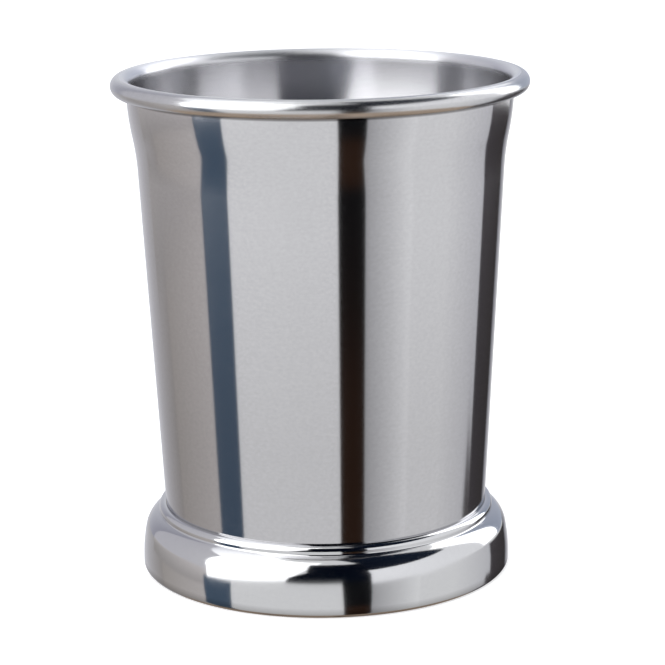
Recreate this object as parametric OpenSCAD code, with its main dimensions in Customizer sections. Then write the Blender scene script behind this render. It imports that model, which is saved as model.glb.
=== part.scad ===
// Footed metal cup with a flared mouth and a rolled lip, made of three pressed sheets and two brazed seams.
// Millimetres, +Z up, origin on the axis in the plane that the foot stands on.

/* [Cup] */
// Height of the cup over the lip
cup_h = 108; // [96:0.5:120]
// Thickness of the cup's sheet
wall_t = 0.6; // [0.5:0.05:0.8]
// Drop from the top of the lip to the height at which the flare starts
flare_drop = 20.5; // [16:0.5:28]
// How far the flare carries the wall outwards
flare_reach = 2.05; // [1.5:0.05:4]
// How far the wall comes inwards from the flare down to the top of the foot
wall_taper = 4; // [1:0.1:7]
// Outside radius of the corner between the floor and the wall
floor_bend_r = 5; // [2:0.25:8]

/* [Rolled lip] */
// Diameter over the rolled lip
rim_d = 89; // [72:0.5:106]
// Diameter of the roll itself
lip_d = 3.9; // [3:0.1:5]
// Gap between the rolled-in edge and the wall
lip_gap = 0.15; // [0.05:0.05:0.3]

/* [Foot ring] */
// Height of the foot ring
foot_h = 14.4; // [12.5:0.1:17]
// Thickness of the foot's sheet
foot_t = 0.8; // [0.6:0.05:1]
// How far the skirt stands out from the wall at the top of the foot
skirt_reach = 5.15; // [4.5:0.05:6]
// Flat width of the collar between the wall and the bead
collar_flat = 0.15; // [0.05:0.05:0.5]
// Inside radius of the collar bead
bead_in_r = 0.5; // [0.4:0.05:0.6]
// Radius of the cove between the bead and the shoulder
cove_r = 0.45; // [0.3:0.05:0.7]
// Radius of the round shoulder
shoulder_r = 5.4; // [4.6:0.1:6]
// Drop from the top of the foot to the shoulder's lower end
shoulder_drop = 5.8; // [5:0.1:6.6]
// Radius of the skirt's slight bow
skirt_bow_r = 34; // [26:1:60]
// Height at which the skirt starts to bow inwards
skirt_z = 2; // [1.8:0.1:3]
// Inside radius of the turned-in bottom edge
hem_in_r = 0.15; // [0.1:0.05:0.3]
// Width of the hem that the cup stands on, from the outside of the skirt
hem_w = 4.2; // [3:0.1:5]

/* [Base plate] */
// Thickness of the plate
plate_t = 0.6; // [0.5:0.05:0.8]
// Inside radius of the plate's two bends
plate_bend_r = 0.5; // [0.3:0.05:0.7]
// Upright height between the two bends
plate_riser = 0.4; // [0.1:0.1:1.5]
// How far the flat of the plate's rim runs in past the hem
plate_lap = 0.3; // [0.1:0.1:1]
// Gap between the plate's rim and the inside of the skirt
plate_gap = 0.1; // [0.05:0.05:0.3]

/* [Seams] */
// Gap between the wall and the collar of the foot ring
collar_gap = 0.05; // [0.02:0.01:0.1]
// Height and width of the fillet of braze at the plate's rim
fillet_r = 0.5; // [0.3:0.05:0.6]

/* [Hidden] */
$fn = 180;

// How far the straight steps of a curved outline may lie inside the true curve
step_depth = 0.004;

// Points are [distance from the axis, height]. In that section an angle of 0 faces out and 90 faces up.
// A bend is [centre, radius of the sheet's first face, angle it starts at, angle it ends at, side].
// The metal lies on the centre's side of that face, or on the far side of it.
metal_near = 1;
metal_far = -1;

function polar(r, a) = [r * cos(a), r * sin(a)];

// Steps that a bend needs to stay within step_depth of the curve
function bend_steps(r, turn) = ceil(abs(turn) / (2 * acos(1 - step_depth / r)));

// Points along a bend
function arc(at, r, a0, a1) =
    let (steps = bend_steps(r, a1 - a0))
    [for (i = [0:steps]) at + polar(r, a0 + (a1 - a0) * i / steps)];

// The cut end of a sheet, square to a face that passes through a point
function sheet_end(at, t, a) = [at - polar(t, a), t, a, a, metal_near];

// One face of a sheet: the first at no depth, the other at the sheet's thickness
function sheet_face(bends, depth) = [
    for (b = bends)
        let (
            turn = b[3] - b[2],
            steps = bend_steps(b[1], turn)
        )
        for (i = [0:steps])
            b[0] + polar(b[1] - b[4] * depth, b[2] + (steps == 0 ? 0 : turn * i / steps))
];

function backwards(points) = [for (i = [len(points) - 1:-1:0]) points[i]];

// Lip: a roll whose inner side is the wall itself, turned in until its edge nearly meets the wall again
lip_r = lip_d / 2;
lip_at = [rim_d / 2 - lip_r, cup_h - lip_r];
lip_end = -acos((wall_t + lip_gap - lip_r) / lip_r);
neck_r = rim_d / 2 - lip_d + wall_t;

// Wall: where the flare starts, the lean from the vertical, and the outside radius at any height
chest_r = neck_r - flare_reach;
chest_z = cup_h - flare_drop;
waist_r = chest_r - wall_taper;
wall_lean = atan(wall_taper / (chest_z - foot_h));
function wall_r(z) = waist_r + (z - foot_h) * tan(wall_lean);

// Flare: two bends of one radius, out from the wall's lean and back to upright under the lip
flare_h = lip_at[1] - chest_z;
flare_slope = flare_reach / flare_h;
flare_cos = (1 + cos(wall_lean) + flare_slope * sin(wall_lean)) / (2 * norm([1, flare_slope]));
flare_lean = atan(flare_slope) + acos(flare_cos);
flare_r = flare_h / (2 * sin(flare_lean) - sin(wall_lean));
flare_out_at = [chest_r, chest_z] + polar(flare_r, -wall_lean);
flare_in_at = [neck_r - flare_r, lip_at[1]];

// Foot ring: the bead stands out from the wall, and the skirt bows in to meet the shoulder
foot_r = waist_r + skirt_reach;
collar_r = waist_r + collar_gap;
bead_r = bead_in_r + foot_t;
bead_at = [collar_r + collar_flat, foot_h - bead_r];
shoulder_z = foot_h - shoulder_drop;
skirt_lean = asin((shoulder_z - skirt_z) / skirt_bow_r);
skirt_at = [foot_r - skirt_bow_r, skirt_z];
shoulder_at = skirt_at + polar(skirt_bow_r - shoulder_r, skirt_lean);
hem_r = hem_in_r + foot_t;
hem_at = [foot_r - hem_r, hem_r];

// Cove: touches the bead and the shoulder from outside
climb = bead_at - shoulder_at;
to_bead = bead_r + cove_r;
to_shoulder = shoulder_r + cove_r;
cove_cos = (pow(to_shoulder, 2) + pow(norm(climb), 2) - pow(to_bead, 2)) / (2 * to_shoulder * norm(climb));
shoulder_end = atan2(climb[1], climb[0]) - acos(cove_cos);
cove_at = shoulder_at + polar(to_shoulder, shoulder_end);
bead_end = atan2(cove_at[1] - bead_at[1], cove_at[0] - bead_at[0]);

foot_bends = [
    sheet_end([collar_r, foot_h], foot_t, 90),
    [bead_at, bead_r, 90, bead_end, metal_near],
    [cove_at, cove_r, 180 + bead_end, 180 + shoulder_end, metal_far],
    [shoulder_at, shoulder_r, shoulder_end, skirt_lean, metal_near],
    [skirt_at, skirt_bow_r, skirt_lean, 0, metal_near],
    [hem_at, hem_r, 0, -90, metal_near],
    sheet_end([foot_r - hem_w, 0], foot_t, -90),
];

// Base plate: its rim lies on the hem inside the skirt, and its middle is raised to the cup's floor
plate_r = foot_r - foot_t - plate_gap;
plate_rim_z = foot_t + plate_t;
plate_out_r = plate_bend_r + plate_t;
panel_r = foot_r - hem_w - plate_lap - plate_bend_r;
floor_z = plate_rim_z + plate_bend_r + plate_riser + plate_out_r;

plate_bends = [
    sheet_end([0, floor_z], plate_t, 90),
    [[panel_r - plate_out_r, floor_z - plate_out_r], plate_out_r, 90, 0, metal_near],
    [[panel_r + plate_bend_r, plate_rim_z + plate_bend_r], plate_bend_r, 180, 270, metal_far],
    sheet_end([plate_r, plate_rim_z], plate_t, 90),
];

// Cup floor: stands on the plate's raised middle, and its corner runs into the leaning wall
corner_z = floor_z + floor_bend_r;
corner_at = [wall_r(corner_z) - floor_bend_r / cos(wall_lean), corner_z];

cup_bends = [
    sheet_end([0, floor_z], wall_t, -90),
    [corner_at, floor_bend_r, -90, -wall_lean, metal_near],
    [flare_out_at, flare_r, 180 - wall_lean, 180 - flare_lean, metal_far],
    [flare_in_at, flare_r, -flare_lean, 0, metal_near],
    [lip_at, lip_r - wall_t, 180, lip_end, metal_far],
];

// Seams: braze fills the bead under the collar, and lies in the corner between the plate's rim and the skirt
collar_z = foot_h - foot_t;
collar_outline = concat(
    arc(bead_at, bead_in_r, 0, 90),
    [[wall_r(collar_z), collar_z], [wall_r(bead_at[1]), bead_at[1]]]
);
corner_braze_at = [foot_r - foot_t, plate_rim_z];
corner_outline = concat([corner_braze_at], arc(corner_braze_at + [-fillet_r, fillet_r], fillet_r, 0, -90));

// A sheet of one thickness, bent along its bends and turned about the cup's axis
module turned_sheet(bends, t) {
    rotate_extrude() polygon(concat(sheet_face(bends, 0), backwards(sheet_face(bends, t))));
}

module cup_body() {
    color("silver") turned_sheet(cup_bends, wall_t);
}

module foot_ring() {
    color("gainsboro") turned_sheet(foot_bends, foot_t);
}

module base_plate() {
    color("darkgray") turned_sheet(plate_bends, plate_t);
}

module collar_braze() {
    color("darkkhaki") rotate_extrude() polygon(collar_outline);
}

module base_braze() {
    color("darkkhaki") rotate_extrude() polygon(corner_outline);
}

cup_body();
foot_ring();
base_plate();
collar_braze();
base_braze();
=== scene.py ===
import math
from collections import namedtuple

import bmesh
import bpy
from bpy.props import FloatProperty, FloatVectorProperty, IntProperty, PointerProperty
from mathutils import Matrix, Vector


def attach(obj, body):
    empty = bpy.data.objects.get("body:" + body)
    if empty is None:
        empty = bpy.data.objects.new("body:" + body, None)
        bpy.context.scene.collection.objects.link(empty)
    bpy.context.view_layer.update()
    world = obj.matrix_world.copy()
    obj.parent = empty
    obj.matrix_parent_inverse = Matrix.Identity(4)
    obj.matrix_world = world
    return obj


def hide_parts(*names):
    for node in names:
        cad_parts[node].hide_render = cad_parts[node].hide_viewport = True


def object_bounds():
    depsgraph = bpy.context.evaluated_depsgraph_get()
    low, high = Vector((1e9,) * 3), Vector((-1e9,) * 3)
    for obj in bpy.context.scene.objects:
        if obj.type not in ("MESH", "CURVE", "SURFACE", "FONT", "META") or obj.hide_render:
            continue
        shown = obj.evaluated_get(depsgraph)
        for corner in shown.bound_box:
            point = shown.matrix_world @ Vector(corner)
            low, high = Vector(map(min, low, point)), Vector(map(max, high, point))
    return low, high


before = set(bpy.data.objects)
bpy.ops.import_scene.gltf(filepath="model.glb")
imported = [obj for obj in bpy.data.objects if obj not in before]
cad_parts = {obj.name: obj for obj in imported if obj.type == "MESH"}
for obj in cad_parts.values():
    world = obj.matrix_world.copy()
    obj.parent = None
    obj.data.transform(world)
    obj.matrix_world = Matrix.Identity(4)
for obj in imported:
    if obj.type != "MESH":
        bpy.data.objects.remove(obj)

bl_info = {
    "name": "Footed Steel Cup",
    "version": (1, 0, 0),
    "blender": (4, 5, 0),
    "location": "View3D > Sidebar > Cup",
    "description": "Spins, finishes and stages a footed steel cup on its packed solids",
    "category": "Add Mesh",
}

CAD_LOW, CAD_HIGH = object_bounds()

# A bend's metal lies on its centre's side of the sheet's first face, or on the far side of it
METAL_NEAR = 1
METAL_FAR = -1
Bend = namedtuple("Bend", "centre radius start end side")

# Points closer than this are one point
SAME_POINT = 1e-6

# Edges that turn by this or more are shaded sharp
SHARP_ANGLE = math.radians(35)


# Properties

def length(name, description, default):
    return FloatProperty(
        name=name, description=description, default=default, min=0.0, precision=5, unit="LENGTH"
    )


def share(name, description, default):
    return FloatProperty(
        name=name, description=description, default=default, min=0.0, max=1.0, subtype="FACTOR"
    )


def angle(name, description, default):
    return FloatProperty(
        name=name, description=description, default=math.radians(default), unit="ROTATION"
    )


def colour(name, description, default):
    return FloatVectorProperty(
        name=name, description=description, default=default, size=3, min=0.0, max=1.0, subtype="COLOR"
    )


def power(name, description, default):
    return FloatProperty(name=name, description=description, default=default, min=0.0, unit="POWER")


class CupSizes(bpy.types.PropertyGroup):
    """Sizes of the cup's sheet and its rolled lip"""

    cup_h: length("Height", "Height of the cup over the lip", round(CAD_HIGH.z, 5))
    wall_t: length("Sheet", "Thickness of the cup's sheet", 0.0006)
    flare_drop: length("Flare drop", "Drop from the lip's top to where the flare starts", 0.0205)
    flare_reach: length("Flare reach", "How far the flare carries the wall outwards", 0.00205)
    wall_taper: length("Taper", "How far the wall comes in from the flare to the foot", 0.004)
    floor_bend_r: length("Floor corner", "Outside radius between floor and wall", 0.005)
    rim_d: length("Lip", "Diameter over the rolled lip", round(2 * CAD_HIGH.x, 5))
    lip_d: length("Roll", "Diameter of the roll itself", 0.0039)
    lip_gap: length("Lip gap", "Gap between the rolled-in edge and the wall", 0.00015)
    polish_h: length("Polished top", "How far the polish comes down from the lip's top", 0.004)


class FootSizes(bpy.types.PropertyGroup):
    """Sizes of the foot ring and of the plate that closes it"""

    foot_h: length("Height", "Height of the foot ring", 0.0144)
    foot_t: length("Sheet", "Thickness of the foot's sheet", 0.0008)
    skirt_reach: length("Skirt reach", "How far the skirt stands out from the wall", 0.00515)
    collar_gap: length("Collar gap", "Gap between the wall and the collar", 0.00005)
    collar_flat: length("Collar flat", "Flat width between the wall and the bead", 0.00015)
    bead_in_r: length("Bead", "Inside radius of the collar bead", 0.0005)
    cove_r: length("Cove", "Radius of the cove between bead and shoulder", 0.00045)
    shoulder_r: length("Shoulder", "Radius of the round shoulder", 0.0054)
    shoulder_drop: length("Shoulder drop", "Drop from the foot's top to the shoulder's end", 0.0058)
    skirt_bow_r: length("Skirt bow", "Radius of the skirt's slight bow", 0.034)
    skirt_z: length("Skirt bow height", "Height at which the skirt starts to bow in", 0.002)
    hem_in_r: length("Hem radius", "Inside radius of the turned-in bottom edge", 0.00015)
    hem_w: length("Hem", "Width of the hem that the cup stands on", 0.0042)
    plate_t: length("Plate", "Thickness of the plate", 0.0006)
    plate_bend_r: length("Plate bends", "Inside radius of the plate's two bends", 0.0005)
    plate_riser: length("Plate riser", "Upright height between the two bends", 0.0004)
    plate_lap: length("Plate lap", "How far the rim's flat runs in past the hem", 0.0003)
    plate_gap: length("Plate gap", "Gap between the plate's rim and the skirt", 0.0001)


class Smoothness(bpy.types.PropertyGroup):
    """How finely the round pieces are divided"""

    around: IntProperty(name="Around", description="Steps round the cup", default=256, min=64, max=360)
    bend_step: angle("Bend step", "Largest turn in one step of a small bend", 4)
    sweep_step: angle("Sweep step", "Largest turn in one step of a wide bend", 0.8)
    wide_r: length("Wide bend", "Radius from which a bend counts as wide", 0.02)


class Finishes(bpy.types.PropertyGroup):
    """Colours and roughness of the steels and the braze"""

    satin_colour: colour("Satin steel", "Colour of the brushed outside", (0.555, 0.555, 0.575))
    satin_roughness: share("Satin roughness", "Roughness of the brushed outside", 0.11)
    satin_lines: share("Brush marks", "How strongly the brush marks show", 0.3)
    inside_roughness: share("Inside roughness", "Roughness of the inside", 0.2)
    lip_roughness: share("Lip roughness", "Roughness of the polished lip", 0.22)
    polish_colour: colour("Polished steel", "Colour of the lip and the foot", (0.555, 0.56, 0.575))
    foot_roughness: share("Foot roughness", "Roughness of the polished foot", 0.09)
    foot_lines: share("Foot marks", "How strongly the foot's polishing marks show", 0.12)
    # Painted shade: how dark the steel is painted in its corners, under the lip and where pieces meet,
    # where shade falls
    painted_shade: share("Painted shade", "How dark the steel is in its corners and seams", 0.75)
    # The colour of that painted shade
    painted_shade_colour: colour("Painted shade colour", "Colour of the steel where it is dull", (0.06, 0.052, 0.045))
    # Painted shade: how much darker the outside is painted towards the foot, standing in for the
    # shaded table it reflects
    fade: share("Fade", "How much duller the outside is near the foot", 0.15)
    # Painted highlight: the roll's top and inner side are painted lighter than the steel, and how
    # strongly
    painted_highlight_colour: colour("Painted highlight colour", "Colour of the roll's inner side", (0.78, 0.79, 0.82))
    painted_highlight: share("Painted highlight", "How strongly the roll's inner side is rubbed", 0.8)
    base_colour: colour("Base steel", "Colour of the plate underneath", (0.5, 0.5, 0.505))
    base_roughness: share("Base roughness", "Roughness of the plate underneath", 0.3)
    base_lines: share("Base marks", "How strongly the plate's turning marks show", 0.5)
    braze_colour: colour("Braze", "Colour of the braze in the seams", (0.52, 0.4, 0.2))


class StageSizes(bpy.types.PropertyGroup):
    """Camera, floor and light"""

    lens: FloatProperty(name="Lens", description="Focal length", default=131.82, unit="CAMERA")
    distance: length("Distance", "From the camera to the middle of the cup", 0.5296)
    aim_z: length("Aim", "Height on the cup's axis that the camera turns about", 0.0512)
    pitch: angle("Pitch", "How far the camera looks down", 13.38)
    roll: angle("Roll", "How far the camera is rolled", -0.763)
    shift: FloatProperty(name="Shift", description="Sideways shift of the frame", default=0.0138)
    floor_colour: colour("Floor", "Colour of the floor", (0.82, 0.82, 0.825))
    floor_reach: length("Floor reach", "From the floor's middle to its sides", 12.0)
    card_distance: length("Card distance", "From the cup to the nearest card", 1.5)
    card_step: length("Card step", "How much farther out each card stands than the one before", 0.004)
    lamp_distance: length("Lamp distance", "From the cup to the lamps", 1.2)
    key_power: power("Key", "Power of the large lamp", 5.0)
    fill_power: power("Fill", "Power of the lamp on the right", 1.5)
    top_power: power("Top", "Power of the lamp above", 3.0)


class FootedCup(bpy.types.PropertyGroup):
    """All the sizes and finishes of the cup"""

    cup: PointerProperty(type=CupSizes)
    foot: PointerProperty(type=FootSizes)
    smooth: PointerProperty(type=Smoothness)
    finish: PointerProperty(type=Finishes)
    stage: PointerProperty(type=StageSizes)


# Sections, in the plane of X and Z: an angle of 0 faces out and 90 faces up

def point(out, up):
    return Vector((out, 0.0, up))


def polar(radius, degrees):
    return point(radius * math.cos(math.radians(degrees)), radius * math.sin(math.radians(degrees)))


def sheet_end(at, thickness, degrees):
    """The cut end of a sheet, square to a face that passes through a point."""
    return Bend(at - polar(thickness, degrees), thickness, degrees, degrees, METAL_NEAR)


def neck_radius(cup):
    return cup.rim_d / 2 - cup.lip_d + cup.wall_t


def waist_radius(cup):
    return neck_radius(cup) - cup.flare_reach - cup.wall_taper


def plate_rim_height(foot):
    return foot.foot_t + foot.plate_t


def cup_floor_height(foot):
    return plate_rim_height(foot) + 2 * foot.plate_bend_r + foot.plate_riser + foot.plate_t


def cup_bends(cup, foot):
    """From the middle of the floor, up the outside of the wall and round the lip."""
    lip_r = cup.lip_d / 2
    lip_at = point(cup.rim_d / 2 - lip_r, cup.cup_h - lip_r)
    lip_end = -math.degrees(math.acos((cup.wall_t + cup.lip_gap - lip_r) / lip_r))
    chest = point(neck_radius(cup) - cup.flare_reach, cup.cup_h - cup.flare_drop)
    lean = math.atan(cup.wall_taper / (chest.z - foot.foot_h))
    rise = lip_at.z - chest.z
    slope = cup.flare_reach / rise
    flare_cos = (1 + math.cos(lean) + slope * math.sin(lean)) / (2 * math.hypot(1, slope))
    flare = math.atan(slope) + math.acos(flare_cos)
    flare_r = rise / (2 * math.sin(flare) - math.sin(lean))
    lean_deg = math.degrees(lean)
    flare_deg = math.degrees(flare)
    floor_z = cup_floor_height(foot)
    corner_z = floor_z + cup.floor_bend_r
    corner_wall = waist_radius(cup) + (corner_z - foot.foot_h) * math.tan(lean)
    corner_at = point(corner_wall - cup.floor_bend_r / math.cos(lean), corner_z)
    return [
        sheet_end(point(0.0, floor_z), cup.wall_t, -90),
        Bend(corner_at, cup.floor_bend_r, -90, -lean_deg, METAL_NEAR),
        Bend(chest + polar(flare_r, -lean_deg), flare_r, 180 - lean_deg, 180 - flare_deg, METAL_FAR),
        Bend(point(neck_radius(cup) - flare_r, lip_at.z), flare_r, -flare_deg, 0, METAL_NEAR),
        Bend(lip_at, lip_r - cup.wall_t, 180, lip_end, METAL_FAR),
    ]


def foot_bends(cup, foot):
    """From the collar, over the bead, cove and shoulder and down the skirt to the hem."""
    foot_r = waist_radius(cup) + foot.skirt_reach
    collar_r = waist_radius(cup) + foot.collar_gap
    bead_r = foot.bead_in_r + foot.foot_t
    bead_at = point(collar_r + foot.collar_flat, foot.foot_h - bead_r)
    shoulder_z = foot.foot_h - foot.shoulder_drop
    skirt_lean = math.degrees(math.asin((shoulder_z - foot.skirt_z) / foot.skirt_bow_r))
    skirt_at = point(foot_r - foot.skirt_bow_r, foot.skirt_z)
    shoulder_at = skirt_at + polar(foot.skirt_bow_r - foot.shoulder_r, skirt_lean)
    hem_r = foot.hem_in_r + foot.foot_t
    climb = bead_at - shoulder_at
    to_bead = bead_r + foot.cove_r
    to_shoulder = foot.shoulder_r + foot.cove_r
    cove_cos = (to_shoulder**2 + climb.length**2 - to_bead**2) / (2 * to_shoulder * climb.length)
    shoulder_end = math.degrees(math.atan2(climb.z, climb.x) - math.acos(cove_cos))
    cove_at = shoulder_at + polar(to_shoulder, shoulder_end)
    bead_end = math.degrees(math.atan2(cove_at.z - bead_at.z, cove_at.x - bead_at.x))
    return [
        sheet_end(point(collar_r, foot.foot_h), foot.foot_t, 90),
        Bend(bead_at, bead_r, 90, bead_end, METAL_NEAR),
        Bend(cove_at, foot.cove_r, 180 + bead_end, 180 + shoulder_end, METAL_FAR),
        Bend(shoulder_at, foot.shoulder_r, shoulder_end, skirt_lean, METAL_NEAR),
        Bend(skirt_at, foot.skirt_bow_r, skirt_lean, 0, METAL_NEAR),
        Bend(point(foot_r - hem_r, hem_r), hem_r, 0, -90, METAL_NEAR),
        sheet_end(point(foot_r - foot.hem_w, 0.0), foot.foot_t, -90),
    ]


def plate_bends(cup, foot):
    """From the raised middle, down the riser and out along the rim."""
    foot_r = waist_radius(cup) + foot.skirt_reach
    out_r = foot.plate_bend_r + foot.plate_t
    panel_r = foot_r - foot.hem_w - foot.plate_lap - foot.plate_bend_r
    rim_z = plate_rim_height(foot)
    floor_z = cup_floor_height(foot)
    lower_at = point(panel_r + foot.plate_bend_r, rim_z + foot.plate_bend_r)
    return [
        sheet_end(point(0.0, floor_z), foot.plate_t, 90),
        Bend(point(panel_r - out_r, floor_z - out_r), out_r, 90, 0, METAL_NEAR),
        Bend(lower_at, foot.plate_bend_r, 180, 270, METAL_FAR),
        sheet_end(point(foot_r - foot.foot_t - foot.plate_gap, rim_z), foot.plate_t, 90),
    ]


class Pen:
    """Draws a section from point to point in the plane of X and Z."""

    def __init__(self, mesh, smooth):
        self.mesh = mesh
        self.smooth = smooth
        self.tip = None

    def line_to(self, at):
        """A straight edge to a point, or the first point."""
        if self.tip is None:
            self.tip = self.mesh.verts.new(at)
        elif (self.tip.co - at).length > SAME_POINT:
            made = bmesh.ops.extrude_vert_indiv(self.mesh, verts=[self.tip])
            self.tip = made["verts"][0]
            self.tip.co = at

    def turn_about(self, centre, radius, degrees):
        """An arc from the tip, in steps that suit its radius."""
        wide = radius > self.smooth.wide_r
        step = self.smooth.sweep_step if wide else self.smooth.bend_step
        turn = math.radians(degrees)
        made = bmesh.ops.spin(
            self.mesh,
            geom=[self.tip],
            cent=centre,
            axis=(0.0, -1.0, 0.0),
            angle=turn,
            steps=max(2, math.ceil(abs(turn) / step)),
        )
        self.tip = [part for part in made["geom_last"] if isinstance(part, bmesh.types.BMVert)][0]

    def face_of(self, bends, depth):
        """One face of a sheet, at a depth in it."""
        for bend in bends:
            radius = bend.radius - bend.side * depth
            self.line_to(bend.centre + polar(radius, bend.start))
            if bend.start != bend.end:
                self.turn_about(bend.centre, radius, bend.end - bend.start)


def turned_sheet(bends, thickness, smooth):
    """A bmesh of a bent sheet, spun about the cup's axis."""
    mesh = bmesh.new()
    pen = Pen(mesh, smooth)
    pen.face_of(bends, 0.0)
    pen.face_of([bend._replace(start=bend.end, end=bend.start) for bend in reversed(bends)], thickness)
    mesh.verts.ensure_lookup_table()
    first = mesh.verts[0].co.copy()
    if first.x > SAME_POINT:
        pen.line_to(first)
    bmesh.ops.remove_doubles(mesh, verts=mesh.verts, dist=SAME_POINT)
    bmesh.ops.spin(
        mesh,
        geom=mesh.verts[:] + mesh.edges[:],
        cent=(0.0, 0.0, 0.0),
        axis=(0.0, 0.0, 1.0),
        angle=math.tau,
        steps=smooth.around,
        use_merge=True,
    )
    bmesh.ops.remove_doubles(mesh, verts=mesh.verts, dist=SAME_POINT)
    bmesh.ops.recalc_face_normals(mesh, faces=mesh.faces)
    return mesh


def add_piece(name, mesh, materials, pick, node):
    """Makes a bmesh a piece that stands for a CAD node. pick gives each face its material."""
    for face in mesh.faces:
        face.smooth = True
        face.material_index = pick(face)
    for edge in mesh.edges:
        edge.smooth = edge.calc_face_angle(0.0) < SHARP_ANGLE
    data = bpy.data.meshes.new(name)
    mesh.to_mesh(data)
    mesh.free()
    piece = bpy.data.objects.new(name, data)
    bpy.context.scene.collection.objects.link(piece)
    for material in materials:
        data.materials.append(material)
    weighted = piece.modifiers.new("Even shading", "WEIGHTED_NORMAL")
    weighted.mode = "FACE_AREA"
    weighted.keep_sharp = True
    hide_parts(node)
    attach(piece, "root")


# Finishes

# A band round the cup. Its colour is None where only the roughness changes.
Band = namedtuple("Band", "height reach strength colour")

# A band is at full strength in this share of its reach
BAND_CORE = 0.3

# How much darker the steel is between its lines and how much lighter on them, at a line share of 1
LINES_DARKER = 0.17
LINES_LIGHTER = 0.14

# How much the fine lines count beside the marks in the colour, and how much they change the roughness
LINES_IN_COLOUR = 0.35
LINES_IN_ROUGHNESS = 0.2

# Depth of the lines in the steel, and of the ripples in the braze
LINE_DEPTH = 0.000004
RIPPLE_DEPTH = 0.00004

# Turns the shader's stretched highlights across the lines
QUARTER_TURN = 0.25


def new_group(name, inputs, outputs):
    """An empty shader node group with named number and vector sockets."""
    group = bpy.data.node_groups.new(name, "ShaderNodeTree")
    for label, kind, default in inputs:
        socket = group.interface.new_socket(name=label, in_out="INPUT", socket_type=kind)
        if default is not None:
            socket.default_value = default
    for label in outputs:
        group.interface.new_socket(name=label, in_out="OUTPUT", socket_type="NodeSocketFloat")
    return group, group.nodes.new("NodeGroupInput"), group.nodes.new("NodeGroupOutput")


def math_node(tree, operation, first, second=None):
    """A Math node fed by sockets or numbers."""
    node = tree.nodes.new("ShaderNodeMath")
    node.operation = operation
    for socket, value in zip(node.inputs, (first, second)):
        if isinstance(value, bpy.types.NodeSocket):
            tree.links.new(value, socket)
        elif value is not None:
            socket.default_value = value
    return node.outputs[0]


def map_node(tree, value, low, high, to_low=0.0, to_high=1.0):
    """A clamped Map Range node."""
    node = tree.nodes.new("ShaderNodeMapRange")
    tree.links.new(value, node.inputs["Value"])
    node.inputs["From Min"].default_value = low
    node.inputs["From Max"].default_value = high
    node.inputs["To Min"].default_value = to_low
    node.inputs["To Max"].default_value = to_high
    return node.outputs["Result"]


def noise_node(tree, vector, scale, detail, roughness=0.5):
    node = tree.nodes.new("ShaderNodeTexNoise")
    tree.links.new(vector, node.inputs["Vector"])
    node.inputs["Scale"].default_value = scale
    node.inputs["Detail"].default_value = detail
    node.inputs["Roughness"].default_value = roughness
    return node.outputs["Fac"]


def mix_node(tree, factor, first, second):
    """A mix of two colours. The first may be the socket of another mix."""
    node = tree.nodes.new("ShaderNodeMix")
    node.data_type = "RGBA"
    tree.links.new(factor, node.inputs["Factor"])
    if isinstance(first, bpy.types.NodeSocket):
        tree.links.new(first, node.inputs["A"])
    else:
        node.inputs["A"].default_value = (*first, 1.0)
    node.inputs["B"].default_value = (*second, 1.0)
    return node.outputs["Result"]


def group_node(tree, group, coordinates):
    """A shared group in a finish's tree, placed by the piece's coordinates."""
    node = tree.nodes.new("ShaderNodeGroup")
    node.node_tree = group
    tree.links.new(coordinates, node.inputs["Vector"])
    return node


def add_relief(tree, height, strength, depth):
    """A bump on a finish's shader."""
    bump = tree.nodes.new("ShaderNodeBump")
    bump.inputs["Strength"].default_value = strength
    bump.inputs["Distance"].default_value = depth
    tree.links.new(height, bump.inputs["Height"])
    tree.links.new(bump.outputs["Normal"], tree.nodes["Principled BSDF"].inputs["Normal"])


def metal_material(name):
    """A bare metal, with its shader and its piece's coordinates."""
    material = bpy.data.materials.new(name)
    material.use_nodes = True
    tree = material.node_tree
    shader = tree.nodes["Principled BSDF"]
    shader.inputs["Metallic"].default_value = 1.0
    return material, shader, tree.nodes.new("ShaderNodeTexCoord").outputs["Object"]


def turned_lines_group():
    """Fine lines round the cup's axis, as a belt leaves them, and the short marks between them."""
    group, given, result = new_group(
        "Turned lines",
        [
            ("Vector", "NodeSocketVector", None),
            ("Lines per metre", "NodeSocketFloat", 3000.0),
            ("Breaks per metre", "NodeSocketFloat", 130.0),
        ],
        ["Lines", "Marks"],
    )
    split = group.nodes.new("ShaderNodeSeparateXYZ")
    group.links.new(given.outputs["Vector"], split.inputs[0])
    squared = math_node(group, "MULTIPLY", split.outputs["X"], split.outputs["X"])
    other = math_node(group, "MULTIPLY", split.outputs["Y"], split.outputs["Y"])
    radius = math_node(group, "SQRT", math_node(group, "ADD", squared, other))
    across = math_node(group, "ADD", radius, split.outputs["Z"])
    # Marks are wider than lines and break more often
    for output, narrower, oftener in (("Lines", 1.0, 1.0), ("Marks", 0.3, 9.0)):
        breaks = math_node(group, "MULTIPLY", given.outputs["Breaks per metre"], oftener)
        count = math_node(group, "MULTIPLY", given.outputs["Lines per metre"], narrower)
        stretched = group.nodes.new("ShaderNodeCombineXYZ")
        for axis in ("X", "Y"):
            along = math_node(group, "MULTIPLY", split.outputs[axis], breaks)
            group.links.new(along, stretched.inputs[axis])
        group.links.new(math_node(group, "MULTIPLY", across, count), stretched.inputs["Z"])
        noise = noise_node(group, stretched.outputs[0], scale=1.0, detail=2.0, roughness=0.6)
        group.links.new(noise, result.inputs[output])
    return group


def handling_group():
    """Soft patches where the steel has been wiped and handled."""
    group, given, result = new_group(
        "Wiping and handling",
        [("Vector", "NodeSocketVector", None), ("Patches per metre", "NodeSocketFloat", 40.0)],
        ["Patches"],
    )
    scaled = group.nodes.new("ShaderNodeVectorMath")
    scaled.operation = "SCALE"
    group.links.new(given.outputs["Vector"], scaled.inputs[0])
    group.links.new(given.outputs["Patches per metre"], scaled.inputs["Scale"])
    patches = noise_node(group, scaled.outputs[0], scale=1.0, detail=4.0, roughness=0.55)
    group.links.new(map_node(group, patches, 0.42, 0.68), result.inputs["Patches"])
    return group


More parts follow.
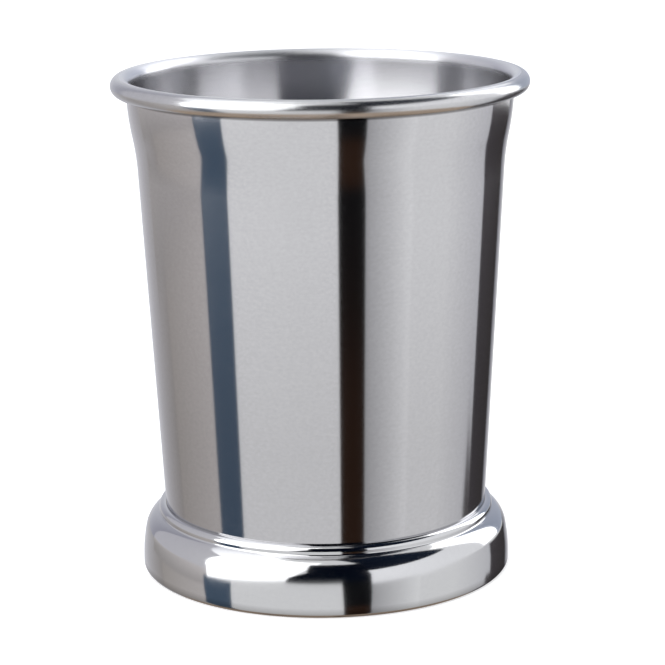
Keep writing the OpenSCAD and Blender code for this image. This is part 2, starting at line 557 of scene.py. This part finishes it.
def band_group():
    """How near a point is to one height: 1 close to it, and 0 from its reach outwards."""
    group, given, result = new_group(
        "Band at a height",
        [
            ("Vector", "NodeSocketVector", None),
            ("Height", "NodeSocketFloat", 0.0),
            ("Reach", "NodeSocketFloat", 0.001),
        ],
        ["Share"],
    )
    split = group.nodes.new("ShaderNodeSeparateXYZ")
    group.links.new(given.outputs["Vector"], split.inputs[0])
    away = math_node(group, "SUBTRACT", split.outputs["Z"], given.outputs["Height"])
    far = math_node(group, "DIVIDE", math_node(group, "ABSOLUTE", away), given.outputs["Reach"])
    group.links.new(map_node(group, far, BAND_CORE, 1.0, 1.0, 0.0), result.inputs["Share"])
    return group


def band_share(tree, groups, coordinates, band):
    """How strongly a band shows, in a finish's tree."""
    node = group_node(tree, groups["band"], coordinates)
    node.inputs["Height"].default_value = band.height
    node.inputs["Reach"].default_value = band.reach
    return math_node(tree, "MULTIPLY", node.outputs["Share"], band.strength)


def steel_material(
    name, base, groups, roughness, brushed, lines_per_metre, line_share, handled, bands, matt=None
):
    """A steel with lines round the axis, wiped patches and bands of another colour, which paint shade
    and highlight.

    brushed is the shader's anisotropy, handled is how much rougher the patches are, and matt is a band
    in which the steel is rougher.
    """
    material, shader, coordinates = metal_material(name)
    tree = material.node_tree
    lines = group_node(tree, groups["lines"], coordinates)
    lines.inputs["Lines per metre"].default_value = lines_per_metre

    between = [value * (1 - LINES_DARKER * line_share) for value in base]
    on_lines = [min(1.0, value * (1 + LINES_LIGHTER * line_share)) for value in base]
    faint_lines = math_node(tree, "MULTIPLY", lines.outputs["Lines"], LINES_IN_COLOUR)
    both = math_node(tree, "ADD", lines.outputs["Marks"], faint_lines)
    tone = mix_node(tree, map_node(tree, both, 0.35, 1.0), between, on_lines)
    for band in bands:
        tone = mix_node(tree, band_share(tree, groups, coordinates, band), tone, band.colour)
    tree.links.new(tone, shader.inputs["Base Color"])

    grain_share = LINES_IN_ROUGHNESS * line_share
    grain = map_node(tree, lines.outputs["Lines"], 0.3, 0.7, -grain_share, grain_share)
    patches = group_node(tree, groups["handling"], coordinates).outputs["Patches"]
    wiped = math_node(tree, "MULTIPLY", patches, handled)
    change = math_node(tree, "ADD", math_node(tree, "ADD", grain, wiped), 1.0)
    if matt:
        change = math_node(tree, "ADD", change, band_share(tree, groups, coordinates, matt))
    tree.links.new(math_node(tree, "MULTIPLY", change, roughness), shader.inputs["Roughness"])

    add_relief(tree, lines.outputs["Lines"], line_share, LINE_DEPTH)
    tangent = tree.nodes.new("ShaderNodeTangent")
    tangent.direction_type = "RADIAL"
    tangent.axis = "Z"
    tree.links.new(tangent.outputs["Tangent"], shader.inputs["Tangent"])
    shader.inputs["Anisotropic"].default_value = brushed
    shader.inputs["Anisotropic Rotation"].default_value = QUARTER_TURN
    return material


def braze_material(name, base, groups):
    """Dull braze metal with a rippled, slightly burnt skin."""
    material, shader, coordinates = metal_material(name)
    tree = material.node_tree
    ripple = noise_node(tree, coordinates, scale=900.0, detail=3.0)
    burnt_base = [value * 0.6 for value in base]
    tone = mix_node(tree, map_node(tree, ripple, 0.35, 0.6), burnt_base, base)
    tree.links.new(tone, shader.inputs["Base Color"])
    patches = group_node(tree, groups["handling"], coordinates).outputs["Patches"]
    burnt = map_node(tree, patches, 0.0, 1.0, to_low=0.38, to_high=0.62)
    tree.links.new(burnt, shader.inputs["Roughness"])
    add_relief(tree, ripple, 1.0, RIPPLE_DEPTH)
    return material


def shared_groups():
    """The node groups that every finish uses, built once."""
    lines = bpy.data.node_groups.get("Turned lines") or turned_lines_group()
    handling = bpy.data.node_groups.get("Wiping and handling") or handling_group()
    band = bpy.data.node_groups.get("Band at a height") or band_group()
    return {"lines": lines, "handling": handling, "band": band}


# Stage

# Cards round the cup that only show in the metal, as corners of azimuth and elevation in degrees:
# lower left, lower right, upper right, upper left. Azimuth 0 is the camera's side, and it grows to
# the right. Two colours run from the left edge to the right one, and rise is the upper edge's
# brightness over the lower edge's. A card hides those that come after it.
Card = namedtuple("Card", "name corners left right rise")
CARDS = (
    Card("stand_on_table", ((10, -89), (27, -89), (27, -64), (11.5, -64)),
         (0.06, 0.04, 0.03), (0.06, 0.04, 0.03), 1.0),
    Card("blue_on_table", ((-80, -89), (-62.2, -89), (-62.2, -64), (-80, -64)),
         (0.072, 0.108, 0.16), (0.068, 0.103, 0.155), 1.0),
    Card("dark_on_table", ((124, -89), (152, -89), (152, -64), (124, -64)),
         (0.07, 0.055, 0.05), (0.075, 0.07, 0.075), 1.0),
    Card("table_left", ((-180, -89), (0, -89), (0, -42), (-180, -42)),
         (0.5, 0.385, 0.285), (0.6, 0.47, 0.365), 0.96),
    Card("table_right", ((0, -89), (180, -89), (180, -42), (0, -42)),
         (0.6, 0.47, 0.365), (0.5, 0.385, 0.285), 0.96),
    Card("camera_body", ((10.2, -19.3), (27, -19.3), (27, -2), (9.2, -2)),
         (0.007, 0.0075, 0.0085), (0.007, 0.0075, 0.0085), 1.0),
    Card("camera_stand", ((11.5, -43), (27, -43), (27, -2), (9.2, -2)),
         (0.034, 0.017, 0.0105), (0.034, 0.017, 0.0105), 1.0),
    Card("dark_room_low", ((-25, -2.5), (27, -2), (27, 24), (-12.5, 24)),
         (0.002, 0.004, 0.01), (0.002, 0.004, 0.01), 1.0),
    Card("dark_room", ((-12.5, 24), (27, 24), (30, 60), (-15, 60)),
         (0.002, 0.004, 0.01), (0.002, 0.004, 0.01), 1.0),
    Card("dark_room_right", ((27, 26), (98, 40), (114, 84), (30, 84)),
         (0.004, 0.007, 0.016), (0.01, 0.018, 0.035), 1.0),
    Card("blue_card", ((-80, -43), (-62.2, -43), (-59.5, -8), (-80, -8.5)),
         (0.076, 0.114, 0.168), (0.072, 0.11, 0.164), 1.1),
    Card("right_dark_low", ((113.2, -23.8), (125, -23.8), (125, -19.5), (117.5, -19.5)),
         (0.07, 0.06, 0.062), (0.07, 0.06, 0.062), 1.0),
    Card("right_dark", ((124, -43), (152, -43), (152, -8), (121.5, -8)),
         (0.074, 0.066, 0.072), (0.045, 0.04, 0.04), 1.0),
    Card("right_far", ((151, -43), (173, -43), (173, -6), (151, -6)),
         (0.2, 0.2, 0.23), (0.95, 0.95, 0.97), 1.0),
    Card("right_shade", ((84, -43), (125, -43), (123, -6), (84, -6)),
         (1.0, 1.0, 1.0), (0.7, 0.7, 0.73), 1.0),
    Card("stand_shadow", ((26, -43), (58, -43), (58, -4), (26, -4)),
         (0.5, 0.5, 0.51), (1.08, 1.08, 1.08), 1.0),
    Card("right_window", ((114, -3), (135, -3), (137, 52), (106, 52)),
         (3.2, 3.2, 3.25), (3.2, 3.2, 3.25), 1.0),
    Card("far_window", ((147, 25), (165, 25), (165, 50), (147, 50)),
         (1.6, 1.6, 1.65), (1.6, 1.6, 1.65), 1.0),
    Card("right_back", ((135, -6), (176, -6), (176, 52), (135, 52)),
         (0.4, 0.45, 0.56), (0.6, 0.62, 0.7), 1.0),
    Card("right_wall", ((26, -5), (124, -5), (122, 42), (26, 42)),
         (1.28, 1.28, 1.3), (1.1, 1.1, 1.12), 1.0),
    Card("window_panel", ((-77, -8.5), (-22, -1), (-6, 72), (-90, 72)),
         (3.2, 3.2, 3.2), (2.0, 2.0, 2.0), 1.0),
    Card("left_wall_fade", ((-136, -14), (-76, -14), (-76, -5), (-136, -5)),
         (0.4, 0.38, 0.37), (0.52, 0.49, 0.48), 1.6),
    Card("left_wall_high", ((-136, -5), (-75, -5), (-75, 40), (-136, 52)),
         (0.68, 0.67, 0.72), (0.8, 0.79, 0.82), 1.0),
    Card("back_wall", ((172, -43), (184, -43), (184, 60), (172, 60)),
         (0.72, 0.74, 0.8), (0.8, 0.82, 0.86), 1.0),
    Card("left_wall_back", ((-178, -6), (-135, -6), (-135, 52), (-178, 44)),
         (0.82, 0.83, 0.88), (0.42, 0.42, 0.49), 1.0),
    Card("window_left", ((-92, 36), (-77, 20), (-85, 82), (-170, 82)),
         (1.5, 1.5, 1.55), (2.0, 2.0, 2.0), 1.0),
    Card("window_corner", ((-155, 50), (-92, 36), (-90, 82), (-178, 82)),
         (1.1, 1.12, 1.18), (1.5, 1.5, 1.55), 1.0),
    Card("left_wall_low", ((-122, -43), (-76, -43), (-76, -13), (-122, -13)),
         (0.49, 0.455, 0.43), (0.7, 0.66, 0.64), 1.0),
    Card("left_floor_back", ((-180, -43), (-120, -43), (-120, -5), (-180, -5)),
         (0.78, 0.79, 0.86), (0.42, 0.39, 0.37), 1.0),
)

# Steps along and up each card, for its bow
CARD_STEPS = 24

# The room's light on whatever is matt, such as the floor, and the floor's own glow to the camera
SOFT_LIGHT = (0.95, 0.97, 1.0, 1.0)
SOFT_STRENGTH = 0.6
FLOOR_GLOW = 0.52
WHITE = (1.0, 1.0, 1.0, 1.0)


def direction(azimuth, elevation):
    """The way from the cup at an azimuth from the camera's side and an elevation, in degrees."""
    across = math.cos(math.radians(elevation))
    return Vector(
        (
            across * math.sin(math.radians(azimuth)),
            -across * math.cos(math.radians(azimuth)),
            math.sin(math.radians(elevation)),
        )
    )


def link_stage(name, mesh, material):
    """Makes a bmesh a piece of the stage."""
    data = bpy.data.meshes.new(name)
    mesh.to_mesh(data)
    mesh.free()
    data.materials.append(material)
    thing = bpy.data.objects.new(name, data)
    bpy.context.scene.collection.objects.link(thing)
    return thing


def glow_material(name, left, right, rise):
    """A card's glow. Its colour changes from left to right and its brightness from bottom to top."""
    material = bpy.data.materials.new(name)
    material.use_nodes = True
    tree = material.node_tree
    tree.nodes.clear()
    output = tree.nodes.new("ShaderNodeOutputMaterial")
    glow = tree.nodes.new("ShaderNodeEmission")
    across = tree.nodes.new("ShaderNodeUVMap")
    split = tree.nodes.new("ShaderNodeSeparateXYZ")
    tree.links.new(across.outputs["UV"], split.inputs[0])
    tree.links.new(mix_node(tree, split.outputs["X"], left, right), glow.inputs["Color"])
    tree.links.new(map_node(tree, split.outputs["Y"], 0.0, 1.0, 1.0, rise), glow.inputs["Strength"])
    tree.links.new(glow.outputs["Emission"], output.inputs["Surface"])
    return material


def add_card(card, distance, centre):
    """A bowed card, from the four directions of its corners."""
    mesh = bmesh.new()
    mesh.loops.layers.uv.new("Across")
    bmesh.ops.create_grid(
        mesh, x_segments=CARD_STEPS, y_segments=CARD_STEPS, size=0.5, calc_uvs=True
    )
    low_left, low_right, high_right, high_left = [Vector(corner) for corner in card.corners]
    for vertex in mesh.verts:
        along = vertex.co.x + 0.5
        up = vertex.co.y + 0.5
        way = low_left.lerp(low_right, along).lerp(high_left.lerp(high_right, along), up)
        vertex.co = centre + distance * direction(way.x, way.y)
    board = link_stage(card.name, mesh, glow_material(card.name, card.left, card.right, card.rise))
    board.visible_camera = False
    board.visible_diffuse = False
    board.visible_shadow = False
    board.visible_transmission = False
    board.visible_volume_scatter = False


def add_lamp(name, azimuth, elevation, size, watts, distance, centre):
    """A soft lamp that faces the cup."""
    data = bpy.data.lights.new(name, "AREA")
    data.shape = "SQUARE"
    data.size = size
    data.energy = watts
    lamp = bpy.data.objects.new(name, data)
    way = direction(azimuth, elevation)
    lamp.location = centre + way * distance
    lamp.rotation_euler = way.to_track_quat("Z", "Y").to_euler()
    lamp.visible_camera = False
    lamp.visible_glossy = False
    bpy.context.scene.collection.objects.link(lamp)


def seen_share(tree):
    """1 for light that reaches the camera straight or by the metal, and 0 for the rest."""
    path = tree.nodes.new("ShaderNodeLightPath")
    seen = math_node(tree, "MAXIMUM", path.outputs["Is Camera Ray"], path.outputs["Is Glossy Ray"])
    return math_node(tree, "MAXIMUM", seen, path.outputs["Is Transmission Ray"])


def floor_material(base):
    """A pale floor that shows white to the camera and keeps the cup's shadow."""
    material = bpy.data.materials.new("pale_floor")
    material.use_nodes = True
    tree = material.node_tree
    shader = tree.nodes["Principled BSDF"]
    shader.inputs["Base Color"].default_value = (*base, 1.0)
    shader.inputs["Roughness"].default_value = 0.9
    shader.inputs["Emission Color"].default_value = WHITE
    glow = math_node(tree, "MULTIPLY", seen_share(tree), FLOOR_GLOW)
    tree.links.new(glow, shader.inputs["Emission Strength"])
    return material


def background_node(tree, light, strength):
    node = tree.nodes.new("ShaderNodeBackground")
    node.inputs["Color"].default_value = light
    node.inputs["Strength"].default_value = strength
    return node.outputs["Background"]


def set_world():
    """White to the camera and in the metal, and a soft pale light for the rest."""
    world = bpy.data.worlds.new("pale_room")
    bpy.context.scene.world = world
    world.use_nodes = True
    tree = world.node_tree
    tree.nodes.clear()
    output = tree.nodes.new("ShaderNodeOutputWorld")
    mixed = tree.nodes.new("ShaderNodeMixShader")
    tree.links.new(seen_share(tree), mixed.inputs["Fac"])
    tree.links.new(background_node(tree, SOFT_LIGHT, SOFT_STRENGTH), mixed.inputs[1])
    tree.links.new(background_node(tree, WHITE, 1.0), mixed.inputs[2])
    tree.links.new(mixed.outputs["Shader"], output.inputs["Surface"])


def add_camera(stage):
    """The photograph's camera: its distance, pitch, slight roll and framing."""
    data = bpy.data.cameras.new("camera")
    data.lens = stage.lens
    data.sensor_width = 36.0
    data.shift_x = stage.shift
    data.clip_start = 0.01
    data.clip_end = 50.0
    camera = bpy.data.objects.new("camera", data)
    bpy.context.scene.collection.objects.link(camera)
    aim = Vector((0.0, 0.0, stage.aim_z))
    place = aim + stage.distance * direction(0.0, math.degrees(stage.pitch))
    tilt = Matrix.Rotation(math.pi / 2 - stage.pitch, 4, "X")
    camera.matrix_world = Matrix.Translation(place) @ tilt @ Matrix.Rotation(stage.roll, 4, "Z")
    bpy.context.scene.camera = camera


# Operators

# A face is level if its normal points up or down by more than this
LEVEL = 0.9


def first_material(face):
    """The material of each face of a piece that has only one."""
    return 0


class CUP_OT_make_cup(bpy.types.Operator):
    """Spin the cup's sheet with its rolled lip, satin outside and inside and polished at the lip"""

    bl_idname = "footed_cup.make_cup"
    bl_label = "Cup and lip"

    def execute(self, context):
        settings = context.scene.footed_cup
        cup = settings.cup
        foot = settings.foot
        finish = settings.finish
        groups = shared_groups()
        lines = finish.satin_lines
        lip_seam_z = cup.cup_h - cup.lip_d - cup.lip_gap
        floor_top_z = cup_floor_height(foot) + cup.wall_t
        polish_z = cup.cup_h - cup.polish_h
        # Painted shade: a thin dark band on the wall just under the roll, where the lip shades it
        under_lip = Band(lip_seam_z, reach=0.0006, strength=finish.painted_shade, colour=finish.painted_shade_colour)
        # Painted shade: the outside darker towards the foot
        by_foot = Band(foot.foot_h, reach=0.065, strength=finish.fade, colour=finish.painted_shade_colour)
        # Painted shade in the corner between the inside floor and the wall
        in_corner = Band(floor_top_z, reach=0.003, strength=finish.painted_shade, colour=finish.painted_shade_colour)
        # Painted highlight: lighter over the roll's top and inner side
        painted_highlight = Band(cup.cup_h, reach=0.0028, strength=finish.painted_highlight, colour=finish.painted_highlight_colour)
        over_roll = Band(cup.cup_h, reach=0.003, strength=0.9, colour=None)
        outside = steel_material(
            "satin_outside", finish.satin_colour, groups, finish.satin_roughness,
            brushed=0.82, lines_per_metre=5000, line_share=lines, handled=0.05,
            bands=[under_lip, by_foot]
        )
        inside = steel_material(
            "satin_inside", finish.satin_colour, groups, finish.inside_roughness,
            brushed=0.85, lines_per_metre=4200, line_share=lines / 2, handled=0.08,
            bands=[in_corner, painted_highlight], matt=over_roll
        )
        lip = steel_material(
            "polished_lip", finish.polish_colour, groups, finish.lip_roughness,
            brushed=0.75, lines_per_metre=5500, line_share=lines, handled=0.2,
            bands=[under_lip]
        )
        materials = [outside, inside, lip]

        def pick(face):
            middle = face.calc_center_median()
            outward = middle.x * face.normal.x + middle.y * face.normal.y
            if outward > 0 and middle.z > polish_z:
                return materials.index(lip)
            faces_up = face.normal.z > LEVEL
            faces_down = face.normal.z <= -LEVEL
            if faces_up or outward < 0 and not faces_down:
                return materials.index(inside)
            return materials.index(outside)

        mesh = turned_sheet(cup_bends(cup, foot), cup.wall_t, settings.smooth)
        add_piece("cup_sheet", mesh, materials, pick, "cup_body")
        return {"FINISHED"}


class CUP_OT_make_foot(bpy.types.Operator):
    """Spin the polished foot ring"""

    bl_idname = "footed_cup.make_foot"
    bl_label = "Foot ring"

    def execute(self, context):
        settings = context.scene.footed_cup
        foot = settings.foot
        finish = settings.finish
        # Painted shade along the foot's bottom edge, where it stands on the table
        light_painted_shade = 0.6 * finish.painted_shade
        at_table = Band(0.0, reach=0.0022, strength=light_painted_shade, colour=finish.painted_shade_colour)
        polished = steel_material(
            "polished_foot", finish.polish_colour, shared_groups(), finish.foot_roughness,
            brushed=0.6, lines_per_metre=5000, line_share=finish.foot_lines, handled=0.2,
            bands=[at_table]
        )
        mesh = turned_sheet(foot_bends(settings.cup, foot), foot.foot_t, settings.smooth)
        add_piece("foot_shell", mesh, [polished], first_material, "foot_ring")
        return {"FINISHED"}


class CUP_OT_make_base(bpy.types.Operator):
    """Spin the plate that closes the underside"""

    bl_idname = "footed_cup.make_base"
    bl_label = "Base plate"

    def execute(self, context):
        settings = context.scene.footed_cup
        foot = settings.foot
        finish = settings.finish
        # Painted shade on the plate next to the hem, where the foot shades it
        by_hem = Band(foot.foot_t, reach=0.0012, strength=finish.painted_shade, colour=finish.painted_shade_colour)
        turned = steel_material(
            "turned_base", finish.base_colour, shared_groups(), finish.base_roughness,
            brushed=0.7, lines_per_metre=1800, line_share=finish.base_lines, handled=0.15,
            bands=[by_hem]
        )
        mesh = turned_sheet(plate_bends(settings.cup, foot), foot.plate_t, settings.smooth)
        add_piece("base_dish", mesh, [turned], first_material, "base_plate")
        return {"FINISHED"}


class CUP_OT_finish_seams(bpy.types.Operator):
    """Give the two brazed seams their dull braze metal"""

    bl_idname = "footed_cup.finish_seams"
    bl_label = "Brazed seams"

    def execute(self, context):
        finish = context.scene.footed_cup.finish
        material = braze_material("braze", finish.braze_colour, shared_groups())
        for node in ("collar_braze", "base_braze"):
            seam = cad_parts[node]
            if not seam.material_slots:
                seam.data.materials.append(material)
            for slot in seam.material_slots:
                slot.material = material
        return {"FINISHED"}


class CUP_OT_set_stage(bpy.types.Operator):
    """Set the floor, the room, the cards, the lamps and the camera"""

    bl_idname = "footed_cup.set_stage"
    bl_label = "Stage"

    def execute(self, context):
        stage = context.scene.footed_cup.stage
        centre = Vector((0.0, 0.0, stage.aim_z))
        mesh = bmesh.new()
        bmesh.ops.create_grid(mesh, x_segments=1, y_segments=1, size=stage.floor_reach)
        floor = link_stage("floor", mesh, floor_material(stage.floor_colour))
        floor.visible_glossy = False
        set_world()
        for order, card in enumerate(CARDS):
            add_card(card, stage.card_distance + order * stage.card_step, centre)
        for name, azimuth, elevation, size, watts in (
            ("key_lamp", -52, 48, 1.0, stage.key_power),
            ("fill_lamp", 118, 30, 0.8, stage.fill_power),
            ("top_lamp", 0, 88, 1.0, stage.top_power),
        ):
            add_lamp(name, azimuth, elevation, size, watts, stage.lamp_distance, centre)
        add_camera(stage)
        context.scene.view_settings.view_transform = "Standard"
        return {"FINISHED"}


class CUP_PT_panel(bpy.types.Panel):
    """Lists the steps and their sizes"""

    bl_idname = "CUP_PT_panel"
    bl_label = "Footed Steel Cup"
    bl_space_type = "VIEW_3D"
    bl_region_type = "UI"
    bl_category = "Cup"

    def draw(self, context):
        settings = context.scene.footed_cup
        for operator in OPERATORS:
            self.layout.operator(operator.bl_idname)
        for group in (settings.cup, settings.foot, settings.smooth, settings.finish, settings.stage):
            box = self.layout.box()
            for name in type(group).__annotations__:
                box.prop(group, name)


OPERATORS = (
    CUP_OT_make_cup, CUP_OT_make_foot, CUP_OT_make_base, CUP_OT_finish_seams, CUP_OT_set_stage
)
CLASSES = (
    CupSizes, FootSizes, Smoothness, Finishes, StageSizes, FootedCup, *OPERATORS, CUP_PT_panel
)


def register():
    for cls in CLASSES:
        bpy.utils.register_class(cls)
    bpy.types.Scene.footed_cup = PointerProperty(type=FootedCup)


def unregister():
    del bpy.types.Scene.footed_cup
    for cls in reversed(CLASSES):
        bpy.utils.unregister_class(cls)


def main():
    register()
    bpy.ops.footed_cup.make_cup()
    bpy.ops.footed_cup.make_foot()
    bpy.ops.footed_cup.make_base()
    bpy.ops.footed_cup.finish_seams()
    bpy.ops.footed_cup.set_stage()


if __name__ == "__main__":
    main()
